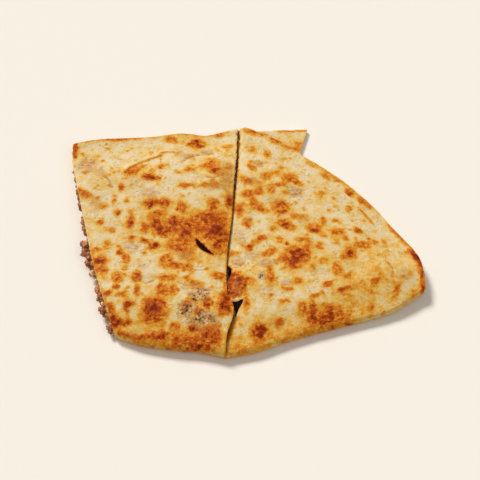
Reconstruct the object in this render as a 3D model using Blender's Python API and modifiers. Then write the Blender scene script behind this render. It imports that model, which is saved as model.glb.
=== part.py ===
"""A beef and cheese quesadilla: one flour tortilla folded over a filling and cut into two slices.

Each slice is a folded sheet of tortilla with its own layer of filling. The fold runs along the
front (-Y), the round edge of the tortilla along the back (+Y), and the cut between the slices
runs from front to back near the middle. The food lies flat on z = 0.
"""
import math

import bmesh
import bpy
from mathutils import Vector

MM = 0.001

# Thicknesses and heights
LAYER = 2.2 * MM             # one layer of tortilla
CLEARANCE = 0.3 * MM         # between a tortilla and its filling
ROOF_CLEARANCE = 0.7 * MM    # more under the swollen top, whose facets bend differently
RIM_HEIGHT = 5.0 * MM        # at the round edge, where the two layers come together
LEFT_FOLD_HEIGHTS = (7.0 * MM, 8.4 * MM)    # along the fold of the left slice, outside to seam
RIGHT_FOLD_HEIGHTS = (6.6 * MM, 5.4 * MM)    # along the fold of the right slice, seam to tip
LEFT_CROWN = 12.0 * MM       # over the filling of the left slice
RIGHT_CROWN = 10.6 * MM      # over the filling of the right slice
FRONT_RAMP = 28 * MM         # the top climbs over this length from the fold to the crown
BACK_RAMP = 40 * MM          # and comes down over this length to the rim
CUT_DROOP = 1.0 * MM         # the knife pressed the top layer down along each cut
CUT_DROOP_WIDTH = 9 * MM
CORNER_LIFT = 5.0 * MM       # crisp corners that curl up from the board
TIP_LIFT = 4.0 * MM
LIFT_REACH = 58 * MM

# Corners in plan
FRONT_LEFT = (-70.5 * MM, -71.0 * MM)
BACK_LEFT = (-105.0 * MM, 66.0 * MM)
SEAM_FRONT = (-9.2 * MM, -84.0 * MM)
SEAM_BACK = (-1.6 * MM, 82.8 * MM)
TIP_FRONT = (104.2 * MM, -41.8 * MM)
TIP_BACK = (104.4 * MM, -30.0 * MM)
FLAP_CORNER = (42.0 * MM, 84.0 * MM)

# The knife cut between the slices, front to back, and how far it stands open
SEAM_BENDS = ((-8.4, -73), (-4.9, -61), (-5.2, -54), (-8.4, -46),
              (-8.7, -22), (-6.4, 2), (-4.0, 30), (-2.4, 55))
SEAM_GAP = 0.8 * MM
SEAM_GAP_AT_BACK = 1.5 * MM

# Where the edges bend, in plan, in millimetres
LEFT_CUT_BENDS = ((-74.6, -60), (-84.4, -30), (-92.0, 0), (-99.2, 30), (-104.2, 52))
LEFT_FOLD_BENDS = ((-58, -75.6), (-40, -79.2), (-24, -80.6))
LEFT_ROUND_BENDS = ((-90, 71.5), (-70, 74.2), (-52, 76.4), (-38, 78.8), (-23, 76.8), (-11, 80.0))
RIGHT_FOLD_BENDS = ((8, -80.4), (20, -75.6), (33, -70.9), (52, -64.9), (75, -58.2), (87, -53.8), (95, -48.4))
RIGHT_ROUND_BENDS = ((3, 83.8), (10, 80.2), (25, 71.0), (38, 60.5), (51, 50.0), (63, 39.2), (73, 28.0),
                     (82, 16.5), (89, 4.5), (96, -6.0), (101.2, -15.0), (103.8, -23))
TIP_BENDS = ((104.8, -37.5),)

# Gentle swellings of the top over thick places in the filling: x, y, radius, height in millimetres
LEFT_SWELLINGS = ((-26, -52, 22, 1.3), (-62, -38, 20, 0.7), (-50, 20, 24, 0.8),
                  (-22, 32, 18, 0.7), (-86, 30, 16, 0.6))
RIGHT_SWELLINGS = ((6, -38, 12, 1.4), (36, -18, 20, 0.9), (18, 28, 20, 0.8),
                   (60, 0, 18, 0.5), (44, -56, 16, 0.6))

# The corner of the lower layer that sticks out past the upper one at the back of the right slice
FLAP_START = 0.055           # share of the round edge where the flap begins
FLAP_END = 0.270             # and where it ends
FLAP_STEPS = 3

# The filling: beef and melted cheese
FILLING_FROM_FOLD = 7.5 * MM
FILLING_FROM_RIM = 16 * MM
FILLING_FROM_CUT = 1.2 * MM
FILLING_FROM_TIP = 22 * MM
# Lumps that bulge out of the left cut: share of the cut from front to back, half width, reach
CUT_LUMPS = ((0.10, 0.035, 4.4), (0.20, 0.05, 5.6), (0.30, 0.035, 3.6), (0.42, 0.05, 6.2), (0.50, 0.03, 4.2),
             (0.62, 0.05, 2.4), (0.74, 0.05, 1.6))
BELLY_SPAN = (0.15, 0.85)    # the part of a half wave that a lump's side follows, floor to roof
BELLY_LEAST = 0.35           # of the reach, where that wave is zero

# Mesh density
LEFT_COLUMNS = 22
RIGHT_COLUMNS = 25
LOWER_ROWS = 7
FOLD_ROWS = 7
UPPER_ROWS = 18
FILLING_COLUMNS = 9
FILLING_ROWS = 36
FILLING_LAYERS = 3
CURVE_STEPS = 24             # straight pieces between two bends of an edge


def ease(value):
    """Return a smooth step from 0 to 1."""
    value = min(max(value, 0.0), 1.0)
    return value * value * (3.0 - 2.0 * value)


def blend(pair, share):
    """Return the value a share of the way from the first to the second."""
    return pair[0] + (pair[1] - pair[0]) * share


def smooth_curve(start, bends, end):
    """Return a function of 0..1 that runs evenly along a smooth curve through the bends."""
    knots = [Vector(start)] + [Vector(bend) * MM for bend in bends] + [Vector(end)]
    padded = [2 * knots[0] - knots[1]] + knots + [2 * knots[-1] - knots[-2]]
    points = []
    for before, a, b, after in zip(padded, padded[1:], padded[2:], padded[3:]):
        chord = (b - a).length
        tangent_a = (b - before) * (chord / ((a - before).length + chord))
        tangent_b = (after - a) * (chord / ((after - b).length + chord))
        for step in range(CURVE_STEPS):
            t = step / CURVE_STEPS
            points.append(
                a * (2 * t**3 - 3 * t**2 + 1)
                + tangent_a * (t**3 - 2 * t**2 + t)
                + b * (3 * t**2 - 2 * t**3)
                + tangent_b * (t**3 - t**2)
            )
    points.append(knots[-1])
    lengths = [0.0]
    for a, b in zip(points, points[1:]):
        lengths.append(lengths[-1] + (b - a).length)

    def at(share):
        wanted = min(max(share, 0.0), 1.0) * lengths[-1]
        index = 0
        while index < len(points) - 2 and lengths[index + 1] < wanted:
            index += 1
        run = lengths[index + 1] - lengths[index]
        return points[index].lerp(points[index + 1], (wanted - lengths[index]) / run)

    return at


def seam_side(direction):
    """Return one side of the cut between the slices: -1 is the left slice's, +1 the right one's."""
    middle = smooth_curve(SEAM_FRONT, SEAM_BENDS, SEAM_BACK)

    def at(share):
        gap = blend((SEAM_GAP, SEAM_GAP_AT_BACK), ease(share))
        return middle(share) + Vector((direction * gap / 2, 0))

    return at


class Slice:
    """The plan and the height of one folded slice. s runs along the fold, t from fold to rim."""

    def __init__(self, front_bends, back_bends, left, right, fold_heights, crown, swellings):
        self.left = left
        self.right = right
        self.front = smooth_curve(left(0), front_bends, right(0))
        self.back = smooth_curve(left(1), back_bends, right(1))
        self.fold_heights = fold_heights
        self.crown = crown
        self.swellings = swellings

    def plan(self, s, t):
        """Return the point of the plan that blends the four edges."""
        across = self.front(s) * (1 - t) + self.back(s) * t
        along = self.left(t) * (1 - s) + self.right(t) * s
        corners = (
            self.left(0) * (1 - s) * (1 - t)
            + self.right(0) * s * (1 - t)
            + self.left(1) * (1 - s) * t
            + self.right(1) * s * t
        )
        return across + along - corners

    def length(self, s):
        """Return the distance from the fold to the round edge."""
        return (self.back(s) - self.front(s)).length

    def fold_height(self, s):
        return blend(self.fold_heights, s)

    def lift(self, point):
        """Return how far a crisp corner has curled up at this point."""
        height = 0.0
        for corner, rise in ((BACK_LEFT, CORNER_LIFT), (TIP_BACK, TIP_LIFT)):
            nearness = 1 - (point - Vector(corner)).length / LIFT_REACH
            height += rise * max(nearness, 0.0) ** 2
        return height

    def top(self, s, t):
        """Return the height of the upper face."""
        point = self.plan(s, t)
        length = self.length(s)
        fold = self.fold_height(s)
        height = fold + (self.crown - fold) * ease(t * length / FRONT_RAMP)
        for x, y, radius, rise in self.swellings:
            distance = (point - Vector((x, y)) * MM).length / (radius * MM)
            height += rise * MM * math.exp(-distance * distance)
        from_cut = min((point - self.left(t)).length, (point - self.right(t)).length)
        height -= CUT_DROOP * (1 - ease(from_cut / CUT_DROOP_WIDTH)) * ease(t * length / FRONT_RAMP)
        down = ease((1 - t) * length / BACK_RAMP)
        return RIM_HEIGHT + (height - RIM_HEIGHT) * down + self.lift(point)

    def sheet(self, s, u):
        """Return a point of the sheet's outer face: u runs from the lower rim round the fold."""
        rows = LOWER_ROWS + FOLD_ROWS + UPPER_ROWS
        row = u * rows
        radius = self.fold_height(s) / 2
        tuck = radius / self.length(s)
        if row < LOWER_ROWS:
            t = 1 - (1 - tuck) * row / LOWER_ROWS
            point = self.plan(s, t)
            return Vector((point.x, point.y, self.lift(point)))
        if row <= LOWER_ROWS + FOLD_ROWS:
            turn = math.pi * ((row - LOWER_ROWS) / FOLD_ROWS - 0.5)
            point = self.plan(s, tuck * (1 - math.cos(turn)))
            return Vector((point.x, point.y, radius * (1 + math.sin(turn)) + self.lift(point)))
        t = tuck + (1 - tuck) * (row - LOWER_ROWS - FOLD_ROWS) / UPPER_ROWS
        point = self.plan(s, t)
        return Vector((point.x, point.y, self.top(s, t)))


def left_slice():
    cut = smooth_curve(FRONT_LEFT, LEFT_CUT_BENDS, BACK_LEFT)
    return Slice(LEFT_FOLD_BENDS, LEFT_ROUND_BENDS, cut, seam_side(-1), LEFT_FOLD_HEIGHTS, LEFT_CROWN,
                 LEFT_SWELLINGS)


def right_slice():
    tip = smooth_curve(TIP_FRONT, TIP_BENDS, TIP_BACK)
    return Slice(RIGHT_FOLD_BENDS, RIGHT_ROUND_BENDS, seam_side(1), tip, RIGHT_FOLD_HEIGHTS, RIGHT_CROWN,
                 RIGHT_SWELLINGS)


def finish(bm, name, material, collection):
    """Turn a bmesh into a named object with its own material."""
    mesh = bpy.data.meshes.new(name)
    bm.to_mesh(mesh)
    bm.free()
    mesh.materials.append(material)
    mesh.shade_smooth()
    mesh.set_sharp_from_angle(angle=math.radians(45))
    piece = bpy.data.objects.new(name, mesh)
    collection.objects.link(piece)
    return piece


def tortilla(name, shape, columns, material, collection, flap=False):
    """Build a folded sheet: a grid bent round the fold, given its thickness inwards."""
    rows = LOWER_ROWS + FOLD_ROWS + UPPER_ROWS
    bm = bmesh.new()
    bmesh.ops.create_grid(bm, x_segments=columns, y_segments=rows, size=0.5)
    rim = {}
    for vert in bm.verts:
        s = vert.co.x + 0.5
        u = vert.co.y + 0.5
        if round(u * rows) == 0:
            rim[round(s * columns)] = vert
        vert.co = shape.sheet(s, u)
    if flap:
        draw_out_flap(bm, rim, columns)
    piece = finish(bm, name, material, collection)
    wall = piece.modifiers.new("layer", "SOLIDIFY")
    wall.thickness = LAYER
    wall.offset = -1
    return piece


def draw_out_flap(bm, rim, columns):
    """Draw the lower layer out past the round edge into a torn corner."""
    first = round(FLAP_START * columns)
    last = round(FLAP_END * columns)
    start = rim[first].co.copy()
    corner = Vector((FLAP_CORNER[0], FLAP_CORNER[1], 0.0))
    chain = [rim[column] for column in range(first, last + 1)]
    roots = [vert.co.copy() for vert in chain]
    for step in range(1, FLAP_STEPS + 1):
        edges = [bm.edges.get((a, b)) for a, b in zip(chain, chain[1:])]
        grown = bmesh.ops.extrude_edge_only(bm, edges=edges)["geom"]
        fresh = [item for item in grown if isinstance(item, bmesh.types.BMVert)]
        chain = [min(fresh, key=lambda v: (v.co - old.co).length) for old in chain]
        for index, vert in enumerate(chain):
            outline = start.lerp(corner, index / (len(chain) - 1))
            vert.co = roots[index].lerp(outline, step / FLAP_STEPS)
    bmesh.ops.remove_doubles(bm, verts=bm.verts, dist=0.05 * MM)


def cut_lump(share):
    """Return how far the filling bulges out of the left cut at a share of its length."""
    reach = 0.0
    for middle, half_width, size in CUT_LUMPS:
        distance = (share - middle) / half_width
        reach = max(reach, size * MM * max(1 - distance * distance, 0.0) ** 0.5)
    return reach


def filling(name, shape, s_range, lumps, material, collection):
    """Build the layer of filling: a block that keeps clear of the tortilla round it."""
    bm = bmesh.new()
    bmesh.ops.create_grid(bm, x_segments=FILLING_COLUMNS, y_segments=FILLING_ROWS, size=0.5)
    top = bm.faces[:]
    for layer in range(FILLING_LAYERS):
        grown = bmesh.ops.extrude_face_region(bm, geom=top)["geom"]
        if layer > 0:
            bmesh.ops.delete(bm, geom=top, context="FACES")
        top = [item for item in grown if isinstance(item, bmesh.types.BMFace)]
        verts = [item for item in grown if isinstance(item, bmesh.types.BMVert)]
        bmesh.ops.translate(bm, verts=verts, vec=(0, 0, 1 / FILLING_LAYERS))
    for vert in bm.verts:
        across = vert.co.x + 0.5
        along = vert.co.y + 0.5
        level = vert.co.z
        s = blend(s_range, across)
        length = shape.length(s)
        t = blend((FILLING_FROM_FOLD / length, 1 - FILLING_FROM_RIM / length), along)
        point = shape.plan(s, t)
        floor = shape.lift(point) + LAYER + CLEARANCE
        roof = shape.top(s, t) - LAYER - ROOF_CLEARANCE
        height = floor + (roof - floor) * level
        bulge = 0.0
        if lumps and across < 0.5 / FILLING_COLUMNS:
            belly = math.sin(math.pi * blend(BELLY_SPAN, level))
            bulge = cut_lump(t) * blend((BELLY_LEAST, 1.0), belly)
        vert.co = (point.x - bulge, point.y, height)
    bmesh.ops.recalc_face_normals(bm, faces=bm.faces)
    return finish(bm, name, material, collection)


def make_material(name, colour, roughness):
    material = bpy.data.materials.new(name)
    material.use_nodes = True
    shader = material.node_tree.nodes["Principled BSDF"]
    shader.inputs["Base Color"].default_value = (*colour, 1.0)
    shader.inputs["Roughness"].default_value = roughness
    shader.inputs["Metallic"].default_value = 0.0
    return material


def main():
    for old in list(bpy.data.objects):
        bpy.data.objects.remove(old, do_unlink=True)
    collection = bpy.data.collections.new("quesadilla")
    bpy.context.scene.collection.children.link(collection)
    left = left_slice()
    right = right_slice()
    tortilla("left_tortilla", left, LEFT_COLUMNS, make_material("left_toast", (0.78, 0.60, 0.32), 0.6),
             collection)
    tortilla("right_tortilla", right, RIGHT_COLUMNS, make_material("right_toast", (0.78, 0.58, 0.30), 0.6),
             collection, flap=True)
    width = (left.back(1) - left.back(0)).length
    inset = FILLING_FROM_CUT / width
    filling("left_filling", left, (inset, 1 - inset), True,
            make_material("left_beef", (0.24, 0.10, 0.05), 0.5), collection)
    reach = (right.front(1) - right.front(0)).length
    filling("right_filling", right, (FILLING_FROM_CUT / reach, 1 - FILLING_FROM_TIP / reach), False,
            make_material("right_beef", (0.24, 0.10, 0.05), 0.5), collection)


main()
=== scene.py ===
# %% [markdown]
# # A beef quesadilla in two slices
# One flour tortilla is folded over ground beef and cheese, griddled, and cut across with a knife.
# The CAD part gives the solids: two folded sheets and the filling between their layers. This
# lesson keeps those places and sizes and makes the surface that one would want to eat: a skin
# with blisters and toast marks, crumbly meat at the cut, and melted cheese.

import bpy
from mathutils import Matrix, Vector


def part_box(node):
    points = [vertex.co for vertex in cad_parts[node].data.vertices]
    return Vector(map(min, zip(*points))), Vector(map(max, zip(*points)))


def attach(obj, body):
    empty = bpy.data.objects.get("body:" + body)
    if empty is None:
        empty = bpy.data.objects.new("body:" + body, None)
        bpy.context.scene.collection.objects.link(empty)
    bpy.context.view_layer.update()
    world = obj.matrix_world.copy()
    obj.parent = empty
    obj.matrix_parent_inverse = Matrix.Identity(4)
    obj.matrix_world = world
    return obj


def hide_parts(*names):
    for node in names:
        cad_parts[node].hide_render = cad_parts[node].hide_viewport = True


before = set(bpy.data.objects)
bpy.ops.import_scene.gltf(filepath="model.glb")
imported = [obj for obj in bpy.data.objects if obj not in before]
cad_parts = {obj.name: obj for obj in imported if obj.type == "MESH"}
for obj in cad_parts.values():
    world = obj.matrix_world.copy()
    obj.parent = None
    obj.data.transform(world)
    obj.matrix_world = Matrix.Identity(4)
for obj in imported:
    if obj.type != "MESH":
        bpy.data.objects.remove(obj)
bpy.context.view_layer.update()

# %% Tools for the lesson
import math
import random

import bmesh
import bpy
import numpy as np
from mathutils import Matrix, Vector, noise

MM = 0.001

# %% [markdown]
# ## The shape of a folded slice
# In plan, a slice is a patch between four edges: the fold in front, the round edge of the
# tortilla behind, and a knife cut or a tip at each side. A patch that blends four curves is
# called a Coons patch. It gives every point of the slice two coordinates: s runs along the fold,
# and t runs from the fold to the round edge. The bends of the edges are the same as in the CAD
# part, in millimetres, and the finished sheet is fitted into the box of its CAD solid.

# %% The edges
LAYER = 2.2                      # thickness of the tortilla
RIM_HEIGHT = 5.0                 # where the two layers meet at the round edge
FRONT_RAMP = 28
BACK_RAMP = 40
CUT_DROOP = 1.0
CUT_DROOP_WIDTH = 9
LIFT_REACH = 58
CURVE_STEPS = 24

FRONT_LEFT = (-70.5, -71.0)
BACK_LEFT = (-105.0, 66.0)
SEAM_FRONT = (-9.2, -84.0)
SEAM_BACK = (-1.6, 82.8)
TIP_FRONT = (104.2, -41.8)
TIP_BACK = (104.4, -30.0)
FLAP_CORNER = (42.0, 84.0)
LIFTED_CORNERS = ((BACK_LEFT, 5.0), (TIP_BACK, 4.0))
SEAM_GAPS = (0.8, 1.5)           # how far the cut stands open, at the front and at the back


def smooth_curve(start, bends, end):
    """Return a function of 0..1 that runs evenly along a smooth curve through the bends."""
    knots = np.array([start, *bends, end], dtype=float)
    padded = np.vstack((2 * knots[0] - knots[1], knots, 2 * knots[-1] - knots[-2]))
    chords = np.linalg.norm(np.diff(padded, axis=0), axis=1)
    t = np.linspace(0, 1, CURVE_STEPS, endpoint=False)[:, None]
    runs = []
    for i in range(1, len(padded) - 2):
        slope_a = (padded[i + 1] - padded[i - 1]) * chords[i] / (chords[i - 1] + chords[i])
        slope_b = (padded[i + 2] - padded[i]) * chords[i] / (chords[i] + chords[i + 1])
        runs.append(
            padded[i] * (2 * t**3 - 3 * t**2 + 1)
            + slope_a * (t**3 - 2 * t**2 + t)
            + padded[i + 1] * (3 * t**2 - 2 * t**3)
            + slope_b * (t**3 - t**2)
        )
    line = np.vstack(runs + [knots[-1:]])
    travel = np.concatenate(([0.0], np.cumsum(np.linalg.norm(np.diff(line, axis=0), axis=1))))
    travel /= travel[-1]

    def at(share):
        x = np.interp(share, travel, line[:, 0])
        y = np.interp(share, travel, line[:, 1])
        return np.stack((x, y), axis=-1)

    return at


def ease(value):
    """Return a smooth step from 0 to 1."""
    value = np.clip(value, 0.0, 1.0)
    return value * value * (3.0 - 2.0 * value)


def ramp(value, low, high):
    """Return a smooth step that starts at low and is complete at high."""
    return ease((value - low) / (high - low))


seam_middle = smooth_curve(
    SEAM_FRONT,
    ((-8.4, -73), (-4.9, -61), (-5.2, -54), (-8.4, -46), (-8.7, -22), (-6.4, 2), (-4.0, 30), (-2.4, 55)),
    SEAM_BACK,
)


def seam_side(direction):
    """Return one side of the knife cut: -1 is the left slice's, +1 the right one's."""

    def at(share):
        share = np.asarray(share, dtype=float)
        gap = SEAM_GAPS[0] + (SEAM_GAPS[1] - SEAM_GAPS[0]) * ease(share)
        edge = seam_middle(share)
        edge[..., 0] += direction * gap / 2
        return edge

    return at


# %% The two slices
def make_slice(left, right, front_bends, back_bends, fold_heights, crown, swellings):
    """Gather what shapes one slice."""
    return {
        "left": left,
        "right": right,
        "front": smooth_curve(left(0.0), front_bends, right(0.0)),
        "back": smooth_curve(left(1.0), back_bends, right(1.0)),
        "fold_heights": fold_heights,
        "crown": crown,
        "swellings": swellings,
    }


left_slice = make_slice(
    left=smooth_curve(FRONT_LEFT, ((-74.6, -60), (-84.4, -30), (-92.0, 0), (-99.2, 30), (-104.2, 52)), BACK_LEFT),
    right=seam_side(-1),
    front_bends=((-58, -75.6), (-40, -79.2), (-24, -80.6)),
    back_bends=((-90, 71.5), (-70, 74.2), (-52, 76.4), (-38, 78.8), (-23, 76.8), (-11, 80.0)),
    fold_heights=(7.0, 8.4),
    crown=12.0,
    swellings=((-26, -52, 22, 1.3), (-62, -38, 20, 0.7), (-50, 20, 24, 0.8), (-22, 32, 18, 0.7), (-86, 30, 16, 0.6)),
)
right_slice = make_slice(
    left=seam_side(1),
    right=smooth_curve(TIP_FRONT, ((104.8, -37.5),), TIP_BACK),
    front_bends=((8, -80.4), (20, -75.6), (33, -70.9), (52, -64.9), (75, -58.2), (87, -53.8), (95, -48.4)),
    back_bends=(
        (3, 83.8), (10, 80.2), (25, 71.0), (38, 60.5), (51, 50.0), (63, 39.2),
        (73, 28.0), (82, 16.5), (89, 4.5), (96, -6.0), (101.2, -15.0), (103.8, -23),
    ),
    fold_heights=(6.6, 5.4),
    crown=10.6,
    swellings=((6, -38, 12, 1.4), (36, -18, 20, 0.9), (18, 28, 20, 0.8), (60, 0, 18, 0.5), (44, -56, 16, 0.6)),
)


def plan(shape, s, t):
    """Return the points of the plan that blend the four edges."""
    s_column = s[:, None]
    t_column = t[:, None]
    across = shape["front"](s) * (1 - t_column) + shape["back"](s) * t_column
    along = shape["left"](t) * (1 - s_column) + shape["right"](t) * s_column
    front = shape["left"](0.0) * (1 - s_column) + shape["right"](0.0) * s_column
    back = shape["left"](1.0) * (1 - s_column) + shape["right"](1.0) * s_column
    return across + along - front * (1 - t_column) - back * t_column


def length(shape, s):
    """Return the distance from the fold to the round edge."""
    return np.linalg.norm(shape["back"](s) - shape["front"](s), axis=-1)


def fold_height(shape, s):
    low, high = shape["fold_heights"]
    return low + (high - low) * s


def lift(points):
    """Return how far a crisp corner has curled up."""
    height = np.zeros(len(points))
    for corner, rise in LIFTED_CORNERS:
        nearness = 1 - np.linalg.norm(points - np.array(corner), axis=1) / LIFT_REACH
        height += rise * np.maximum(nearness, 0.0) ** 2
    return height


def top_height(shape, s, t, points):
    """Return the height of the smooth upper face."""
    run = length(shape, s)
    from_fold = ease(t * run / FRONT_RAMP)
    fold = fold_height(shape, s)
    height = fold + (shape["crown"] - fold) * from_fold
    for x, y, radius, rise in shape["swellings"]:
        distance = np.linalg.norm(points - np.array((x, y)), axis=1) / radius
        height += rise * np.exp(-distance * distance)
    to_left = np.linalg.norm(points - shape["left"](t), axis=1)
    to_right = np.linalg.norm(points - shape["right"](t), axis=1)
    near_cut = 1 - ease(np.minimum(to_left, to_right) / CUT_DROOP_WIDTH)
    height -= CUT_DROOP * near_cut * from_fold
    down = ease((1 - t) * run / BACK_RAMP)
    return RIM_HEIGHT + (height - RIM_HEIGHT) * down + lift(points)


print("left slice is", round(float(length(left_slice, np.array([0.5]))[0])), "mm from fold to round edge")

# %% [markdown]
# ## Patterns
# Toast marks come where the dough touched the griddle. The strong ones are listed, each
# as (x, y, half width, half length, turn in degrees, strength), and hundreds of faint ones are
# strewn by a seeded random generator. Their outlines are bent by noise, because a real mark is
# never a clean ellipse, and each has a golden halo. The same numbers drive the colour and the
# height of the skin, so a blister is brown exactly where it is raised.

# %% Toast marks of the left slice
LEFT_MARKS = (
    # along the round edge
    (-103.5, 61, 2, 7, 0, 0.72), (-79, 72, 8, 1.8, 4, 0.42), (-45, 73, 5, 3.4, 0, 0.42), (-14, 76, 4, 2, 10, 0.36),
    (-9, 38, 6, 16, 0, 0.15), (-28, 69, 5, 4.6, 0, 0.62), (-25, 67, 2.6, 2.4, 0, 0.45), (-8.5, 65.5, 5, 2.6, 0, 0.45),
    # back
    (-66, 42, 5, 3.4, 40, 0.68), (-60, 47, 3, 1.8, 30, 0.45), (-56, 37.5, 5, 3.2, -8, 0.72), (-51.5, 36.5, 2.2, 2, 0, 0.50),
    (-49, 46, 3.2, 3, 0, 0.34), (-32, 43.5, 3, 2.6, 0, 0.52), (-20, 47.5, 7.5, 3.8, 15, 0.46), (-16, 42.5, 4, 2.8, 10, 0.70),
    (-34, 30.5, 5.4, 2.2, 0, 0.48), (-22, 30.5, 3, 2.2, 0, 0.40), (-16, 31, 2.4, 2.6, 0, 0.34), (-72.5, 28.5, 2, 3.2, 0, 0.62),
    (-94, 24.5, 6, 2.8, -38, 0.50), (-99, 27, 2, 3, 0, 0.34), (-7.5, 19, 3, 5.6, 0, 0.62),
    (-76, 19, 1.7, 1.5, 0, 0.46), (-69, 18.5, 1.6, 1.6, 0, 0.46), (-82, 16, 3.4, 2.6, 0, 0.30), (-73.7, 10, 2.4, 2, 0, 0.74),
    (-17, 16.5, 3.6, 5, 0, 0.56), (-35.5, 14, 3, 5.6, 15, 0.40), (-55, 16.5, 6.4, 4.4, 10, 0.46), (-54.5, 15.5, 2.2, 2, 0, 0.72),
    (-46, 17, 5, 4, 0, 0.62), (-50, 8, 8, 4, 20, 0.34), (-65, 5, 2, 5, 0, 0.46), (-84, 2.5, 3.4, 2, 0, 0.38),
    # the great patch beside the seam
    (-19, 4, 14, 9.5, 0, 0.52), (-13, -9, 8.5, 12, 0, 0.48), (-14, -3, 6, 5, 0, 0.62), (-20, 6, 4, 3, 0, 0.44),
    (-26, 8, 2.4, 2, 0, 0.40), (-33, -5, 4.4, 4, 0, 0.66), (-36, 0, 10, 8, 0, 0.42), (-40, 4, 3, 3.4, 0, 0.64),
    (-50, 0.5, 4.6, 4.4, 0, 0.72), (-45.5, -4, 5, 4, 0, 0.64), (-20, -7, 4, 3, 0, 0.50), (-37, -14, 7, 5.4, 0, 0.54),
    (-29, -12, 6, 8, 0, 0.34), (-13, -14, 5, 7, 0, 0.36), (-30, -22, 6, 5, 0, 0.30),
    # middle
    (-66, 1, 2.6, 3.4, 0, 0.50), (-57, -1.5, 3, 3.2, 0, 0.46), (-64, -8.5, 2.8, 1.6, 15, 0.52), (-76, -3, 3, 2, 0, 0.36),
    (-83.5, -16.5, 2.8, 2.2, 0, 0.44), (-78, -13, 3, 4, 0, 0.34), (-56, -10.8, 3.8, 2, 0, 0.62), (-51, -14.5, 3.6, 3, 0, 0.74),
    (-71, -19, 1.8, 1.6, 0, 0.48), (-81.5, -25, 4.6, 4.8, 0, 0.54), (-82, -25, 2.6, 2.4, 0, 0.56),
    (-66.5, -23.5, 2.8, 4, 10, 0.58), (-43.5, -25, 4.6, 5.4, -20, 0.54), (-37, -28.5, 5, 2.8, 0, 0.52), (-31, -29.5, 3.4, 2.4, 0, 0.48),
    (-71, -36, 3.6, 4, 0, 0.58), (-79, -33, 3, 6.4, 8, 0.36), (-60, -36, 3.6, 4.6, 0, 0.58), (-42, -37, 6.4, 3, 0, 0.50),
    (-13, -35.5, 5.4, 3, 0, 0.56), (-31, -37, 2.2, 2, 0, 0.48), (-45, -45.5, 4.4, 4.6, 0, 0.46), (-38.5, -45, 2.4, 4.6, 0, 0.46),
    (-75.5, -47, 3.4, 2.6, 20, 0.58), (-71, -43, 2.6, 2.4, 0, 0.48), (-66, -48.5, 3.4, 4.4, 30, 0.34), (-59, -45.5, 2, 4.6, 0, 0.44),
    (-25, -42, 5, 3, 0, 0.32), (-63.5, -54, 3.4, 2.6, 0, 0.62), (-31, -55.5, 3.2, 2.8, 0, 0.60), (-19, -54, 2.8, 4.0, 0, 0.66),
    (-23.5, -60, 2.6, 2.4, 0, 0.62),
    # front
    (-49, -58, 8.2, 9.6, 0, 0.74), (-48.5, -57.5, 4.6, 5.6, 0, 0.36), (-71, -63.5, 4.4, 4, 0, 0.80), (-64.5, -64.8, 3.8, 2.2, 0, 0.60),
    (-72.5, -56, 2.2, 4.4, 0, 0.40), (-9, -54, 4.8, 8.6, 0, 0.82), (-8, -40, 2.6, 7, 0, 0.56), (-37, -68, 3.4, 3, 0, 0.52),
    (-27, -76, 20, 7.5, 5, 0.42), (-16, -72.5, 6.4, 5, 0, 0.56), (-43, -73, 5, 2.2, 0, 0.52), (-27, -69.5, 3.4, 2.6, 0, 0.40),
    (-22, -80, 8, 3, 0, 0.34),
)

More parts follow.
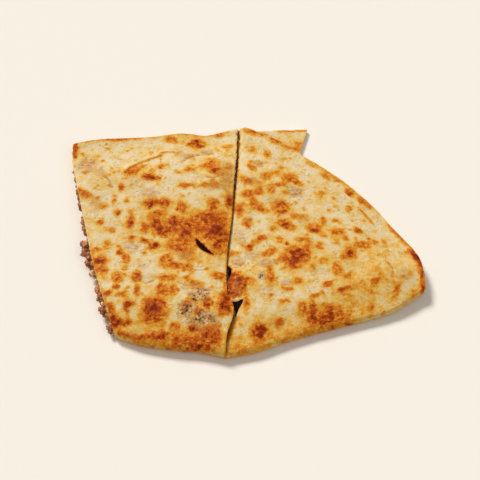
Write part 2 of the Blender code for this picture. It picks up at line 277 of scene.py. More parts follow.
# %% Toast marks of the right slice
RIGHT_MARKS = (
    # along the round edge
    (6, 79, 5.4, 2.2, -25, 0.48), (21.5, 72, 5, 3, -30, 0.60), (29.5, 66.5, 4.4, 2, -20, 0.52), (51.5, 43, 4.2, 2, -40, 0.52),
    (65, 30, 4.6, 2, -50, 0.58), (71.5, 24, 3, 1.6, -55, 0.48), (43, 52, 5, 1.4, -40, 0.34), (101, -20, 2.4, 5, 25, 0.50),
    # back
    (6.5, 62.5, 3.6, 3, 0, 0.40), (16, 59.5, 3, 4.6, 0, 0.44), (6.7, 46.5, 2.2, 2.8, 0, 0.56), (24, 47.3, 2.8, 1.6, 0, 0.42),
    (20.5, 42.7, 3.4, 2.2, 0, 0.44), (15, 39.7, 4, 4, 0, 0.48), (28.5, 39, 5.4, 5, 0, 0.44), (33.5, 35.2, 5.4, 2.6, -40, 0.70),
    (3, 36.3, 4.8, 2.6, -40, 0.70), (23, 32.5, 4.4, 2.2, 15, 0.56), (10.7, 27.2, 3.2, 3.2, 0, 0.56), (18, 28.2, 2.6, 3.4, 0, 0.56),
    (3.5, 25.8, 4, 3.4, 0, 0.60), (7.3, 18.3, 2.8, 5.2, 12, 0.60), (13, 13.3, 4.4, 2.6, -35, 0.56), (23.5, 15.3, 5.8, 5.6, 0, 0.58),
    (24, 12.8, 3.4, 2.4, 0, 0.54), (24, 17.5, 2.6, 1.8, 0, 0.48), (-1.5, 13.8, 3.2, 5.6, 0, 0.56), (34, 8.8, 5.4, 2.4, 0, 0.36),
    (47, 26, 3.6, 4.6, 0, 0.26), (10, 33, 4, 3, 0, 0.30),
    # middle
    (3.5, 4.2, 3.8, 4, 0, 0.56), (25, 3.4, 6.4, 3.4, -25, 0.60), (25.5, 2.6, 3, 2, 0, 0.48), (28.5, -0.4, 3, 2.4, 0, 0.54),
    (42, 0.5, 4.4, 4, 0, 0.48), (42, -1.8, 3.4, 2, -15, 0.56), (48.5, 4, 2.4, 3, 0, 0.48), (18.5, -0.5, 3.4, 2.6, 0, 0.38),
    (64, 17, 3.2, 3, 0, 0.44), (52, 13.3, 1.6, 1.4, 0, 0.46), (55, 5.2, 2.2, 1.6, 0, 0.56), (68.5, -1.4, 2.6, 2.5, 0, 0.74),
    (56, -3.5, 4.8, 3.2, 0, 0.60), (60, -8, 2, 3, 0, 0.38), (70, -12.3, 5.4, 3, 0, 0.56), (77.5, -9.5, 2, 2.4, 0, 0.38),
    (62.5, -19, 4.2, 4.2, 0, 0.60), (62.5, -19, 2.4, 2.6, 0, 0.52), (54.5, -29.5, 3.4, 5.4, 0, 0.56), (60, -34, 2.2, 2.2, 0, 0.38),
    (12, -7, 3.6, 2.6, 20, 0.64), (6, -11, 5, 1.6, 40, 0.34), (5, -14.2, 2.2, 2.8, 0, 0.66), (-6, -18, 3.2, 2.2, 0, 0.52),
    (16.5, -17.7, 4, 2.4, 38, 0.68), (13, -19, 2.4, 2, 0, 0.36), (26.5, -12, 1.6, 1.5, 0, 0.60), (22, -8.5, 2.2, 3, 0, 0.40),
    (35, -8.5, 4.6, 1.8, 0, 0.52), (38.5, -12.5, 2.2, 4, 0, 0.48), (31.5, -21, 9, 9, 0, 0.44), (32.7, -19, 4.6, 4.2, 0, 0.76),
    (30, -25.5, 4.6, 4.4, 0, 0.50), (24.5, -21.4, 3.4, 3, 0, 0.42), (45, -13, 2.4, 3.4, 0, 0.36), (47.5, -23.8, 3.2, 3, 0, 0.40),
    (16.5, -35, 2.6, 5.4, 0, 0.62), (16, -29.5, 2, 2, 0, 0.46), (4.5, -37.8, 3.6, 3, 0, 0.44), (32, -37.8, 2.8, 2.6, 0, 0.52),
    (26.5, -43.2, 3.4, 2.2, 0, 0.42), (49, -39.5, 3.8, 2.2, 28, 0.66), (58, -42.8, 5.4, 1.8, 25, 0.56), (41.5, -47.3, 3.6, 1.6, 22, 0.50),
    (76, -38, 4.2, 2, 50, 0.56), (87.5, -43.5, 2.2, 5.2, -20, 0.52), (22.5, -51.5, 2.2, 2, 0, 0.42), (2.5, -53.5, 1.8, 4.4, 0, 0.54),
    # front
    (21, -63.4, 3.4, 2.8, 25, 0.54), (10.2, -69.4, 6, 5.8, 0, 0.56), (10.2, -69.4, 3.6, 3.6, 0, 0.78), (34, -54.5, 3, 4.2, 0, 0.54),
    (40, -55.5, 2.4, 6.4, 0, 0.76), (45, -61, 3.2, 4.4, 0, 0.76), (39.5, -61.5, 3.4, 3, 0, 0.64), (50, -58.5, 2.4, 5.4, 0, 0.66),
    (55.5, -58, 2, 4.4, 0, 0.46), (60.5, -56.5, 1.8, 3.6, 0, 0.36), (46, -59, 14, 7, 14, 0.34), (73, -53, 2.4, 4, 0, 0.46),
    (-5, -74, 5, 9, 0, 0.14), (30, -72, 36, 5, 17, 0.16), (86, -26, 17, 15, 0, 0.15), (66, -42, 20, 9, 20, 0.16), (-3.5, -41, 6.4, 11, 0, 0.78),
)

# %% Lines of toast, each as its bends, its half width and its strength; one line on each slice is painted shadow
BLISTER_LINE = ((-71, 42), (-67.5, 47.5), (-62, 52.3), (-55, 56), (-50, 58.4))
BLISTER_TAIL = ((-50, 60), (-46, 60.6), (-42, 60.2))
LEFT_LINES = (
    (((-103, 68), (-90, 70.5), (-72, 73), (-55, 75)), 1.6, 0.36),
    (((-52, 75.5), (-38, 78), (-23, 76), (-8, 79)), 1.3, 0.28),
    (((-68, -70), (-60, -72.8), (-53, -73.8), (-46, -74)), 1.5, 0.66),
    (((-72, -63), (-78, -48), (-83, -33), (-88, -12)), 1.2, 0.30),
    ((BLISTER_TAIL[0], BLISTER_TAIL[1], BLISTER_TAIL[2]), 0.8, 0.44),
    # painted shadow: a brown line along the lower side of the long blister
    (((-71, 40.6), (-67, 45.6), (-61.4, 50.6), (-54.6, 54.4), (-50, 57)), 0.9, 0.50),
)
RIGHT_LINES = (
    (((41, 56), (50, 48.5), (60, 39.5), (70, 28.5), (77, 19.5)), 1.6, 0.40),
    (((87, 5), (93, -4), (98, -12), (101.5, -20)), 1.7, 0.56),
    (((98.5, -14), (102, -22), (103.2, -32), (103, -42)), 1.7, 0.74),
    (((70, 18.5), (73.5, 13), (77.5, 6)), 0.9, 0.46),
    (((2, 82), (8, 79.6), (14, 76.4)), 1.6, 0.36),
    # painted shadow: a brown line on the right slice below the hollow, where the left slice laps over it
    (((-4.0, -60), (-5.6, -66), (-8, -74)), 1.9, 0.55),
)

# %% Thin places where the meat shows through: x, y, half width, half length, strength
LEFT_STAINS = (
    (-94, 47, 8, 10, 0.66), (-86, 42, 4, 7, 0.50), (-55, 24.5, 7, 5, 0.55), (-87, 18, 5, 9, 0.46), (-9, 38, 7, 17, 0.58),
    (-33, 56.5, 6, 3.5, 0.66), (-22, 61, 6, 3, 0.62), (-23.5, -48.5, 7.5, 7, 1.0), (-30, -58.4, 7, 6, 1.0), (-21, -64, 10, 6.5, 1.0),
    (-33, -21, 5, 4, 0.66), (-64, -15, 7, 6, 0.50), (-53, -36, 8, 3, 0.46), (-62, 32, 9, 6, 0.36), (-16, 30, 8, 6, 0.46),
    (-60, -71, 8, 3, 0.36), (-31, -44, 4, 3, 0.50), (-75, 0, 5, 5, 0.36), (-40, 62, 6, 4, 0.36), (-57, -29, 5, 4, 0.36),
)
RIGHT_STAINS = (
    (32, 27, 7, 5, 0.66), (7, 35.5, 6, 5, 0.50), (11, 50, 5, 4, 0.55), (11.5, -35, 2.6, 5, 1.0), (-3, -24, 4, 5, 0.70),
    (14, -25, 7, 4, 0.66), (-1, -6, 6, 8, 0.46), (8, -20, 8, 5, 0.45), (19, 20, 8, 5, 0.36), (62, -29, 7, 5, 0.30),
    (3, 8, 5, 6, 0.36), (38, 6, 8, 6, 0.30), (26, -39, 6, 3, 0.46), (45, -31, 8, 3, 0.36), (14, -44, 8, 5, 0.36),
    (4, 66, 5, 10, 0.30), (92, -33, 8, 7, 0.30), (-3, -42, 5, 8, 0.42),
)

# %% Creases in the skin: the bends, half width and depth; each valley is also painted dark, as painted shade
CREASE_SHADE = 0.8
LEFT_CREASES = (
    (((-36, 51.5), (-28.7, 57.5), (-17.6, 59)), 0.9, 0.6),
    (((-21.5, 37.6), (-17.5, 36.6), (-13, 38.2)), 0.7, 0.5),
    (((-59, -38), (-54.5, -40.6), (-50, -39)), 0.7, 0.5),
    (((-36, -40.5), (-30, -42.5), (-25, -41)), 0.7, 0.4),
    (((-84, 38), (-80, 34), (-78, 29)), 0.7, 0.4),
)
RIGHT_CREASES = (
    (((27, 31), (32, 28.2), (38, 29.6)), 0.8, 0.5),
    (((6, 51.5), (10.5, 49.5), (14, 51)), 0.7, 0.4),
    (((-2, -21), (1.5, -24), (-1, -27.5)), 0.8, 0.4),
    (((84, -25), (86.5, -30), (86, -35)), 0.8, 0.3),
)

# %% Fields of the pattern
HALO_WIDTH = 1.9                 # a golden halo reaches this many times as far as its mark
HALO_SHARE = 0.26                # and is this strong beside it
ROUND_MARK = 2.6                 # marks larger than this keep a rounder outline, as a big blister does


def noise_at(points, size, seed=0.0):
    """Return smooth noise of about -1..1 whose lumps are the given size in millimetres."""
    offset = Vector((seed * 17.3, seed * 5.1, seed * 9.7))
    return np.array([noise.noise(Vector((x, y, 0)) / size + offset) for x, y in points])


def ellipse_distance(points, x, y, half_width, half_length, turn):
    """Return the distance from a turned ellipse's centre, where 1 is its outline."""
    angle = math.radians(turn)
    dx = points[:, 0] - x
    dy = points[:, 1] - y
    along_width = dx * math.cos(angle) + dy * math.sin(angle)
    along_length = dy * math.cos(angle) - dx * math.sin(angle)
    return np.hypot(along_width / half_width, along_length / half_length)


def near_line(points, path, width):
    """Return 1 on a smooth line through the bends and fall to 0 at the width."""
    line = smooth_curve(path[0], path[1:-1], path[-1])(np.linspace(0, 1, 60))
    distance = np.full(len(points), 1e6)
    near = np.all((points > line.min(axis=0) - 12) & (points < line.max(axis=0) + 12), axis=1)
    apart = np.linalg.norm(points[near][:, None, :] - line[None, :, :], axis=2)
    distance[near] = apart.min(axis=1)
    return np.exp(-(distance / width) ** 2)


def random_marks(points, count, sizes, strengths, seed):
    """Return marks strewn over the extent of the points."""
    rng = random.Random(seed)
    low = points.min(axis=0)
    high = points.max(axis=0)
    marks = []
    for _ in range(count):
        size = rng.uniform(*sizes) * rng.uniform(0.5, 1.0)
        marks.append((
            rng.uniform(low[0], high[0]), rng.uniform(low[1], high[1]),
            size, size * rng.uniform(0.6, 1.5), rng.uniform(0, 180), rng.uniform(*strengths),
        ))
    return marks


def toast_pattern(points, marks, lines, seed):
    """Return how toasted each point is, 0..1."""
    wobble = 0.30 * noise_at(points, 3.4, seed) + 0.12 * noise_at(points, 1.4, seed + 1)
    clear = np.ones(len(points))
    for x, y, half_width, half_length, turn, strength in marks:
        radius = max(half_width, half_length)
        reach = 3.2 * radius
        near = np.flatnonzero((np.abs(points[:, 0] - x) < reach) & (np.abs(points[:, 1] - y) < reach))
        distance = ellipse_distance(points[near], x, y, half_width * 1.1, half_length * 1.1, turn)
        distance += wobble[near] * min(1.0, ROUND_MARK / radius)
        body = 0.8 * (1 - ramp(distance, 0.45, 1.15)) + 0.2 * (1 - ramp(distance, 0.0, 0.8))
        clear[near] *= 1 - strength * body
        clear[near] *= 1 - HALO_SHARE * strength * (1 - ramp(distance, 0.6, HALO_WIDTH))
    for path, width, strength in lines:
        clear *= 1 - strength * near_line(points + wobble[:, None] * 1.6, path, width)
    return 1 - clear


def stain_pattern(points, stains, seed):
    """Return how strongly the meat shows through, 0..1."""
    wobble = 0.4 * noise_at(points, 4.0, seed) + 0.25 * noise_at(points, 1.6, seed + 1)
    total = np.zeros(len(points))
    for x, y, half_width, half_length, strength in stains:
        distance = ellipse_distance(points, x, y, half_width, half_length, 0) + wobble
        total = np.maximum(total, strength * (1 - ramp(distance, 0.3, 1.3)))
    return total


# %% [markdown]
# ## The folded tortilla
# A grid from `create_grid` is bent like a sheet of dough: its rows run from the round edge of the
# lower layer, forward under the filling, round the fold, and back over the top. The rows lie
# close together on the top, where the skin needs fine relief, and far apart underneath. The sheet
# gets its thickness from Solidify, inwards, just as in the CAD part.

# %% Bending the sheet
SHEET_COLUMNS = 148
LOWER_ROWS = 56
FOLD_ROWS = 22
UPPER_ROWS = 218


def sheet_rows(shape, s, row, upper_rows):
    """Return place, outward direction, and pattern coordinates for every point of the grid."""
    radius = fold_height(shape, s) / 2
    run = length(shape, s)
    tuck = radius / run
    lower = row < LOWER_ROWS
    upper = row > LOWER_ROWS + FOLD_ROWS
    turn = np.pi * (np.clip((row - LOWER_ROWS) / FOLD_ROWS, 0, 1) - 0.5)
    t = tuck * (1 - np.cos(turn))
    t = np.where(lower, 1 - (1 - tuck) * row / LOWER_ROWS, t)
    t = np.where(upper, tuck + (1 - tuck) * (row - LOWER_ROWS - FOLD_ROWS) / upper_rows, t)
    points = plan(shape, s, t)
    height = radius * (1 + np.sin(turn)) + lift(points)
    height = np.where(upper, top_height(shape, s, t, points), height)
    inward = plan(shape, s, np.minimum(t + 0.02, 1.0)) - plan(shape, s, np.maximum(t - 0.02, 0.0))
    inward /= np.linalg.norm(inward, axis=1)[:, None]
    outward = np.column_stack((-inward * np.cos(turn)[:, None], np.sin(turn)))
    unrolled = points - inward * (radius * ((np.pi / 2 - turn) - np.cos(turn)))[:, None] * (~upper)[:, None]
    return np.column_stack((points, height)), outward, unrolled, t, upper, lower


def skin_relief(points, toast, stain_and_crease_shade, seed):
    """Return the height of the skin's blisters and wrinkles in millimetres."""
    relief = 0.34 * noise_at(points, 19, seed)
    relief += 0.17 * noise_at(points, 8, seed + 1)
    relief += 0.10 * noise_at(points, 3.6, seed + 2)
    relief += 0.05 * noise_at(points, 1.7, seed + 3)
    relief += 0.30 * toast
    relief += stain_and_crease_shade * (0.30 * noise_at(points, 2.6, seed + 4) + 0.12 * noise_at(points, 1.4, seed + 5) - 0.15)
    return relief


# %% [markdown]
# A few places are special: a long blister with a sharp lower side on the left slice, a burst
# bubble, a rough patch where meat pushes up from below, a torn blister beside the seam and the
# thickened lip along the round edge. Each is a small field of height added to the skin.

# %% Special places
BURST = ((-26.6, -9.2), (-24.6, -10.6), (-22.2, -13.8), (-19.2, -17.4), (-15.6, -20.9),
         (-20.2, -19.2), (-23.8, -16.4), (-26.4, -13.0))
HOLLOW = ((-10, -50.4), (-3, -51.4), (1.6, -49.4), (0.4, -52.6), (-1.6, -56), (-3.0, -61), (-5.0, -64), (-10, -65))
GAPE = ((-10, -26.0), (-7.6, -26.6), (-5.9, -29.2), (-5.9, -32.6), (-7.2, -36.8), (-10, -38))
LAPPING_EDGE = ((-8.0, -64.5), (-9.2, -71), (-9.8, -77))
TORN_EDGE = ((-7.4, -49.6), (-3.0, -50.4), (1.0, -48.6))
# Each hole has its outline and how toasted its edge is: a burst bubble is charred, a tear is pale
LEFT_HOLES = ((BURST, 0.95),)
RIGHT_HOLES = ((HOLLOW, 0.12), (GAPE, 0.80))


def left_extras(points):
    """Return extra height and toast for the special places of the left slice."""
    ridge = near_line(points, BLISTER_LINE, 1.7)
    tail = near_line(points, BLISTER_TAIL, 1.0)
    rough = np.exp(-(ellipse_distance(points, -23, -57, 13, 13, 0) ** 2) * 1.6)
    bumps = rough * (0.50 * noise_at(points, 3.0, 41) + 0.25 * noise_at(points, 1.6, 42))
    lip = np.exp(-(ellipse_distance(points, -17.5, -13.5, 7, 5, -40) ** 2)) * 0.9
    shelf = np.exp(-(ellipse_distance(points, -9, -56, 6, 9, 0) ** 2)) * 0.8
    scorch = rough * (0.14 + 0.30 * (noise_at(points, 2.2, 43) > 0.25))
    pale = near_line(points, LAPPING_EDGE, 2.6)
    return 0.8 * ridge + 0.4 * tail + bumps + lip + shelf + 0.3 * pale, scorch - 0.32 * pale


def right_extras(points):
    """Return extra height and toast for the special places of the right slice."""
    torn = (1 - ramp(ellipse_distance(points, -4, -41, 7, 11, 0), 0.75, 1.1)) * (points[:, 1] > -51)
    bubbles = torn * (0.8 + 0.65 * noise_at(points, 2.3, 51) + 0.35 * noise_at(points, 1.2, 52))
    torn_edge = near_line(points, TORN_EDGE, 0.8)
    rim = sum(near_line(points, path, width) for path, width, _ in RIGHT_LINES[:4])
    scorch = torn * (0.10 + 0.55 * noise_at(points, 2.0, 53)) - 0.45 * torn_edge
    return bubbles + 0.25 * rim + 0.3 * torn_edge, scorch


def inside(outline, point):
    """Return whether a point lies inside an outline."""
    x, y = point
    found = False
    for (x1, y1), (x2, y2) in zip(outline, outline[1:] + outline[:1]):
        if (y1 > y) != (y2 > y) and x < (x2 - x1) * (y - y1) / (y2 - y1) + x1:
            found = not found
    return found


# %% Making a tortilla
def fit_to_node(places, node):
    """Stretch the places a trace so that they fill the box of the CAD solid."""
    low, high = (np.array(corner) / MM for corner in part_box(node))
    own_low = places.min(axis=0)
    own_high = places.max(axis=0)
    return low + (places - own_low) * (high - low) / (own_high - own_low)


SEAM_SHADE = 0.5                     # the cut faces along the seam are painted dark brown, painted shade of the narrow seam; the others are pale
SEAM_LAPS = {1: (0.75, 0.3), -1: (0.35, -0.5)}    # how far the left and right edges reach over, and rise


def toasted_sheet(node, shape, toward_seam, marks, lines, stains, creases, extras, holes, wash, gain,
                  seed, flap=False):
    """Build one folded tortilla with its relief, its holes and its colour fields."""
    columns = SHEET_COLUMNS
    upper_rows = UPPER_ROWS
    rows = LOWER_ROWS + FOLD_ROWS + upper_rows
    bm = bmesh.new()
    bmesh.ops.create_grid(bm, x_segments=columns, y_segments=rows, size=0.5)
    bm.verts.ensure_lookup_table()
    grid = np.array([vert.co for vert in bm.verts])
    s = np.clip(grid[:, 0] + 0.5, 0, 1)
    row = np.clip(grid[:, 1] + 0.5, 0, 1) * rows
    places, outward, pattern, t, upper, lower = sheet_rows(shape, s, row, upper_rows)
    shown = np.where(lower, 0.0, 1.0)
    below = pattern.copy()
    below[:, 1] += 400
    faint = random_marks(pattern, 420, (0.8, 2.4), (0.08, 0.40), seed)
    hidden = random_marks(below, 130, (2.0, 7.5), (0.25, 0.66), seed + 5)
    hidden += random_marks(below, 500, (0.8, 2.4), (0.10, 0.45), seed + 6)
    toast = gain * toast_pattern(pattern, (*marks, *faint), lines, seed) * shown
    toast += toast_pattern(below, hidden, (), seed + 5) * (1 - shown)
    from_fold = t * length(shape, s)
    # near the fold the skin gets a golden wash: partly toast that the fold has, partly painted shade of the front wall
    # that faces away from the key light
    fold_toast_and_shade = (1 - ramp(from_fold, 0.0, 13.0)) * (wash + 0.10 * noise_at(pattern, 9, seed + 8))
    toast = 1 - (1 - toast) * (1 - np.clip(fold_toast_and_shade, 0, 1))
    stain_and_crease_shade = stain_pattern(pattern, stains, seed + 7) * shown
    extra_height, extra_toast = extras(pattern)
    for path, width, depth in creases:
        valley = near_line(pattern, path, width) * shown
        extra_height -= depth * valley
        # painted shade: the crease's valley is painted dark through the stain field
        stain_and_crease_shade = np.maximum(stain_and_crease_shade, CREASE_SHADE * valley)
    relief = skin_relief(pattern, toast, stain_and_crease_shade, seed + 20) + extra_height * shown
    toast = np.clip(toast + extra_toast * shown, 0, 1)
    relief = np.where(lower, -np.abs(relief) * 0.5, relief)
    side = np.minimum(s, 1 - s) * columns < 0.5
    relief -= 0.45 * side * shown
    rim = (1 - t) * length(shape, s)
    relief += shown * upper * 0.35 * np.exp(-((rim - 2.5) / 2.2) ** 2)
    relief -= shown * upper * 0.5 * (rim < 0.3)
    places = places + outward * relief[:, None]
    # the knife leaves the seam ragged and open at the back; in front the left edge laps the right one
    at_seam = side & ((s > 0.5) if toward_seam > 0 else (s < 0.5))
    closed = 1 - ramp(pattern[:, 1], 5, 28)
    ragged = 0.34 * noise_at(pattern, 2.4, seed + 30) + 0.22 * noise_at(pattern, 1.0, seed + 31)
    lap, rise = SEAM_LAPS[toward_seam]
    places[:, 0] += ragged * side * (1.2 - 0.8 * closed)
    places[:, 0] += toward_seam * at_seam * np.where(lower, 0.15, 0.1 + lap * closed)
    places[:, 2] += rise * at_seam * closed * shown
    places[:, 1] += 0.5 * ragged * ((row < 0.5) | (row > rows - 0.5))
    places = fit_to_node(places, node)
    # the edge points of a knife cut are paler; along the seam they get extra toast, painted shade of the seam
    toast = np.where(side, 0.4 * toast + 0.34 * at_seam, toast)
    toast_layer = bm.verts.layers.float.new("toast")
    stain_and_crease_shade_layer = bm.verts.layers.float.new("stain_and_crease_shade")
    cut_layer = bm.verts.layers.float.new("cut")
    inner_layer = bm.verts.layers.float.new("inner toast")
    for index, vert in enumerate(bm.verts):
        vert.co = places[index] * MM
        vert[toast_layer] = toast[index]
        vert[stain_and_crease_shade_layer] = stain_and_crease_shade[index]
        vert[cut_layer] = SEAM_SHADE if at_seam[index] else float(side[index])
        vert[inner_layer] = 0.04
    if flap:
        chain = sorted((bm.verts[i] for i in np.flatnonzero(row < 0.5)), key=lambda vert: s[vert.index])
        draw_out_flap(bm, chain, columns)
    for outline, edge_toast in holes:
        open_hole(bm, outline, edge_toast)
    return bm


def open_hole(bm, outline, edge_toast):
    """Delete the faces inside an outline, smooth the edge that is left, and toast it."""
    toast_layer = bm.verts.layers.float["toast"]
    inner_layer = bm.verts.layers.float["inner toast"]
    cut_layer = bm.verts.layers.float["cut"]
    doomed = []
    for face in bm.faces:
        middle = face.calc_center_median() / MM
        if middle.z > 4 and inside(outline, middle.xy):
            doomed.append(face)
    corners = {vert for face in doomed for vert in face.verts}
    bmesh.ops.delete(bm, geom=doomed, context="FACES")
    edge = [vert for vert in corners if vert.is_valid and vert.link_faces]
    for _ in range(4):
        moves = {}
        for vert in edge:
            beside = [e.other_vert(vert) for e in vert.link_edges if e.is_boundary]
            if len(beside) == 2:
                moves[vert] = 0.5 * vert.co + 0.25 * (beside[0].co + beside[1].co)
        for vert, place in moves.items():
            vert.co = place
    for vert in edge:
        vert[toast_layer] = edge_toast
        vert[inner_layer] = edge_toast
        vert[cut_layer] = 0.0


# %% [markdown]
# The corner behind the right slice is the lower layer, torn on its way out from under the round
# edge. Its own cell keeps the steps in order: the edges of the rim are extruded again and again,
# each time a little nearer to the torn outline.

# %% The torn corner
FLAP_START = 0.055
FLAP_END = 0.270
FLAP_STEPS = 26
FLAP_MARKS = (
    (24, 73, 4, 1.8, -30, 0.34), (33, 68, 4.4, 1.8, -25, 0.40), (36.5, 71, 3.4, 2.8, 0, 0.30), (39, 83, 5, 1.1, 0, 0.34),
    (28, 82.5, 8, 1, 0, 0.26), (41, 74, 0.9, 7, 0, 0.24), (15, 79.5, 5, 1.4, -20, 0.34), (38.5, 63, 2.4, 2.4, 0, 0.30),
)


def draw_out_flap(bm, rim, columns):
    """Draw the lower layer out past the round edge into a torn corner."""
    toast_layer = bm.verts.layers.float["toast"]
    upper_layer = bm.verts.layers.float["inner toast"]
    cut_layer = bm.verts.layers.float["cut"]
    first = round(FLAP_START * columns)
    last = round(FLAP_END * columns)
    chain = rim[first:last + 1]
    roots = [vert.co.copy() for vert in chain]
    start = roots[0].copy()
    corner = Vector((FLAP_CORNER[0], FLAP_CORNER[1], 0.0)) * MM
    for step in range(1, FLAP_STEPS + 1):
        edges = [bm.edges.get((a, b)) for a, b in zip(chain, chain[1:])]
        grown = bmesh.ops.extrude_edge_only(bm, edges=edges)["geom"]
        fresh = [item for item in grown if isinstance(item, bmesh.types.BMVert)]
        chain = [min(fresh, key=lambda vert: (vert.co - old.co).length) for old in chain]
        for index, vert in enumerate(chain):
            outline = start.lerp(corner, index / (len(chain) - 1))
            vert.co = roots[index].lerp(outline, step / FLAP_STEPS)
            rough = noise.noise(vert.co / (2.6 * MM)) + 0.6 * noise.noise(vert.co / (1.1 * MM))
            if step == FLAP_STEPS or index == len(chain) - 1:
                vert.co.x += 0.35 * rough * MM
                vert.co.y += 0.2 * rough * MM
            vert.co.z += 0.18 * (1 + rough) * MM * (step / FLAP_STEPS)
            vert[toast_layer] = 0.1
            vert[cut_layer] = float(step == FLAP_STEPS or index == len(chain) - 1)
    bmesh.ops.remove_doubles(bm, verts=bm.verts, dist=0.05 * MM)
    reach = [vert for vert in bm.verts if vert.co.z < 4 * MM and vert.co.y > 50 * MM and vert.co.x < 50 * MM]
    below = np.array([vert.co.xy for vert in reach]) / MM
    faint = random_marks(below, 30, (0.8, 1.8), (0.08, 0.3), 61)
    upper = toast_pattern(below, (*FLAP_MARKS, *faint), (), 61)
    for vert, value in zip(reach, upper):
        vert[upper_layer] = value


left_bm = toasted_sheet(
    "left_tortilla", left_slice, 1, LEFT_MARKS, LEFT_LINES, LEFT_STAINS, LEFT_CREASES, left_extras,
    LEFT_HOLES, wash=0.20, gain=1.03, seed=3
)
right_bm = toasted_sheet(
    "right_tortilla", right_slice, -1, RIGHT_MARKS, RIGHT_LINES, RIGHT_STAINS, RIGHT_CREASES, right_extras,
    RIGHT_HOLES, wash=0.19, gain=0.91, seed=4, flap=True
)
print("grid faces:", len(left_bm.faces), len(right_bm.faces))


# %% [markdown]
# ## Thickness and cut faces
# Solidify puts the second face of the sheet 2.2 mm inside the first. The points of the second
# face come after those of the first, so a face that has both kinds is part of a cut, and gets
# the pale, bready colour of the inside of a tortilla; along the seam the cut faces are painted
# dark brown, as painted shade of the narrow gap.

# %% Thickness
def thicken(bm, name, node):
    """Give a sheet its thickness and mark its cut faces."""
    outer = len(bm.verts)
    mesh = bpy.data.meshes.new(name)
    bm.to_mesh(mesh)
    bm.free()
    piece = bpy.data.objects.new(name, mesh)
    bpy.context.scene.collection.objects.link(piece)
    wall = piece.modifiers.new("layer", "SOLIDIFY")
    wall.thickness = LAYER * MM
    wall.offset = -1
    evaluated = piece.evaluated_get(bpy.context.evaluated_depsgraph_get())
    solid = bpy.data.meshes.new_from_object(evaluated)
    piece.modifiers.clear()
    piece.data = solid
    toast = np.zeros(len(solid.vertices))
    solid.attributes["toast"].data.foreach_get("value", toast)
    inner_toast = np.zeros(len(solid.vertices))
    solid.attributes["inner toast"].data.foreach_get("value", inner_toast)
    toast[outer:2 * outer] = inner_toast[:outer]
    solid.attributes.remove(solid.attributes["inner toast"])
    solid.attributes["toast"].data.foreach_set("value", toast)
    cut = np.zeros(len(solid.vertices))
    solid.attributes["cut"].data.foreach_get("value", cut)
    crumb = solid.attributes.new("crumb", "FLOAT", "CORNER")
    values = np.zeros(len(solid.loops), dtype=np.float32)
    for face in solid.polygons:
        corners = list(face.vertices)
        if min(corners) < outer <= max(corners):
            values[face.loop_start:face.loop_start + face.loop_total] = max(cut[v] for v in corners)
    crumb.data.foreach_set("value", values)
    solid.attributes.remove(solid.attributes["cut"])
    solid.shade_smooth()
    solid.set_sharp_from_angle(angle=math.radians(55))
    print(name, "has", sum(len(face.vertices) - 2 for face in solid.polygons), "triangles")
    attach(piece, "root")
    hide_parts(node)
    return piece


left_tortilla = thicken(left_bm, "left_toasted_tortilla", "left_tortilla")
right_tortilla = thicken(right_bm, "right_toasted_tortilla", "right_tortilla")


# %% [markdown]
# ## The filling
# Between the layers lies a bed of ground beef and melted cheese. Its core is a block that follows
# the space between the layers, with a lumpy side. Crumbs of meat are added where they show.

# %% The core of the filling
FILLING_FROM_FOLD = 7.5
FILLING_FROM_RIM = 16
CORE_LEVELS = 6
# The filling has fallen away under the hollow, the gape and the burst bubble
PITS = ((-3, -55, 9, 11, 0), (-8, -32, 5, 7, 0), (-21.4, -15.2, 8, 5, -48))
PIT_SHARE = 0.85


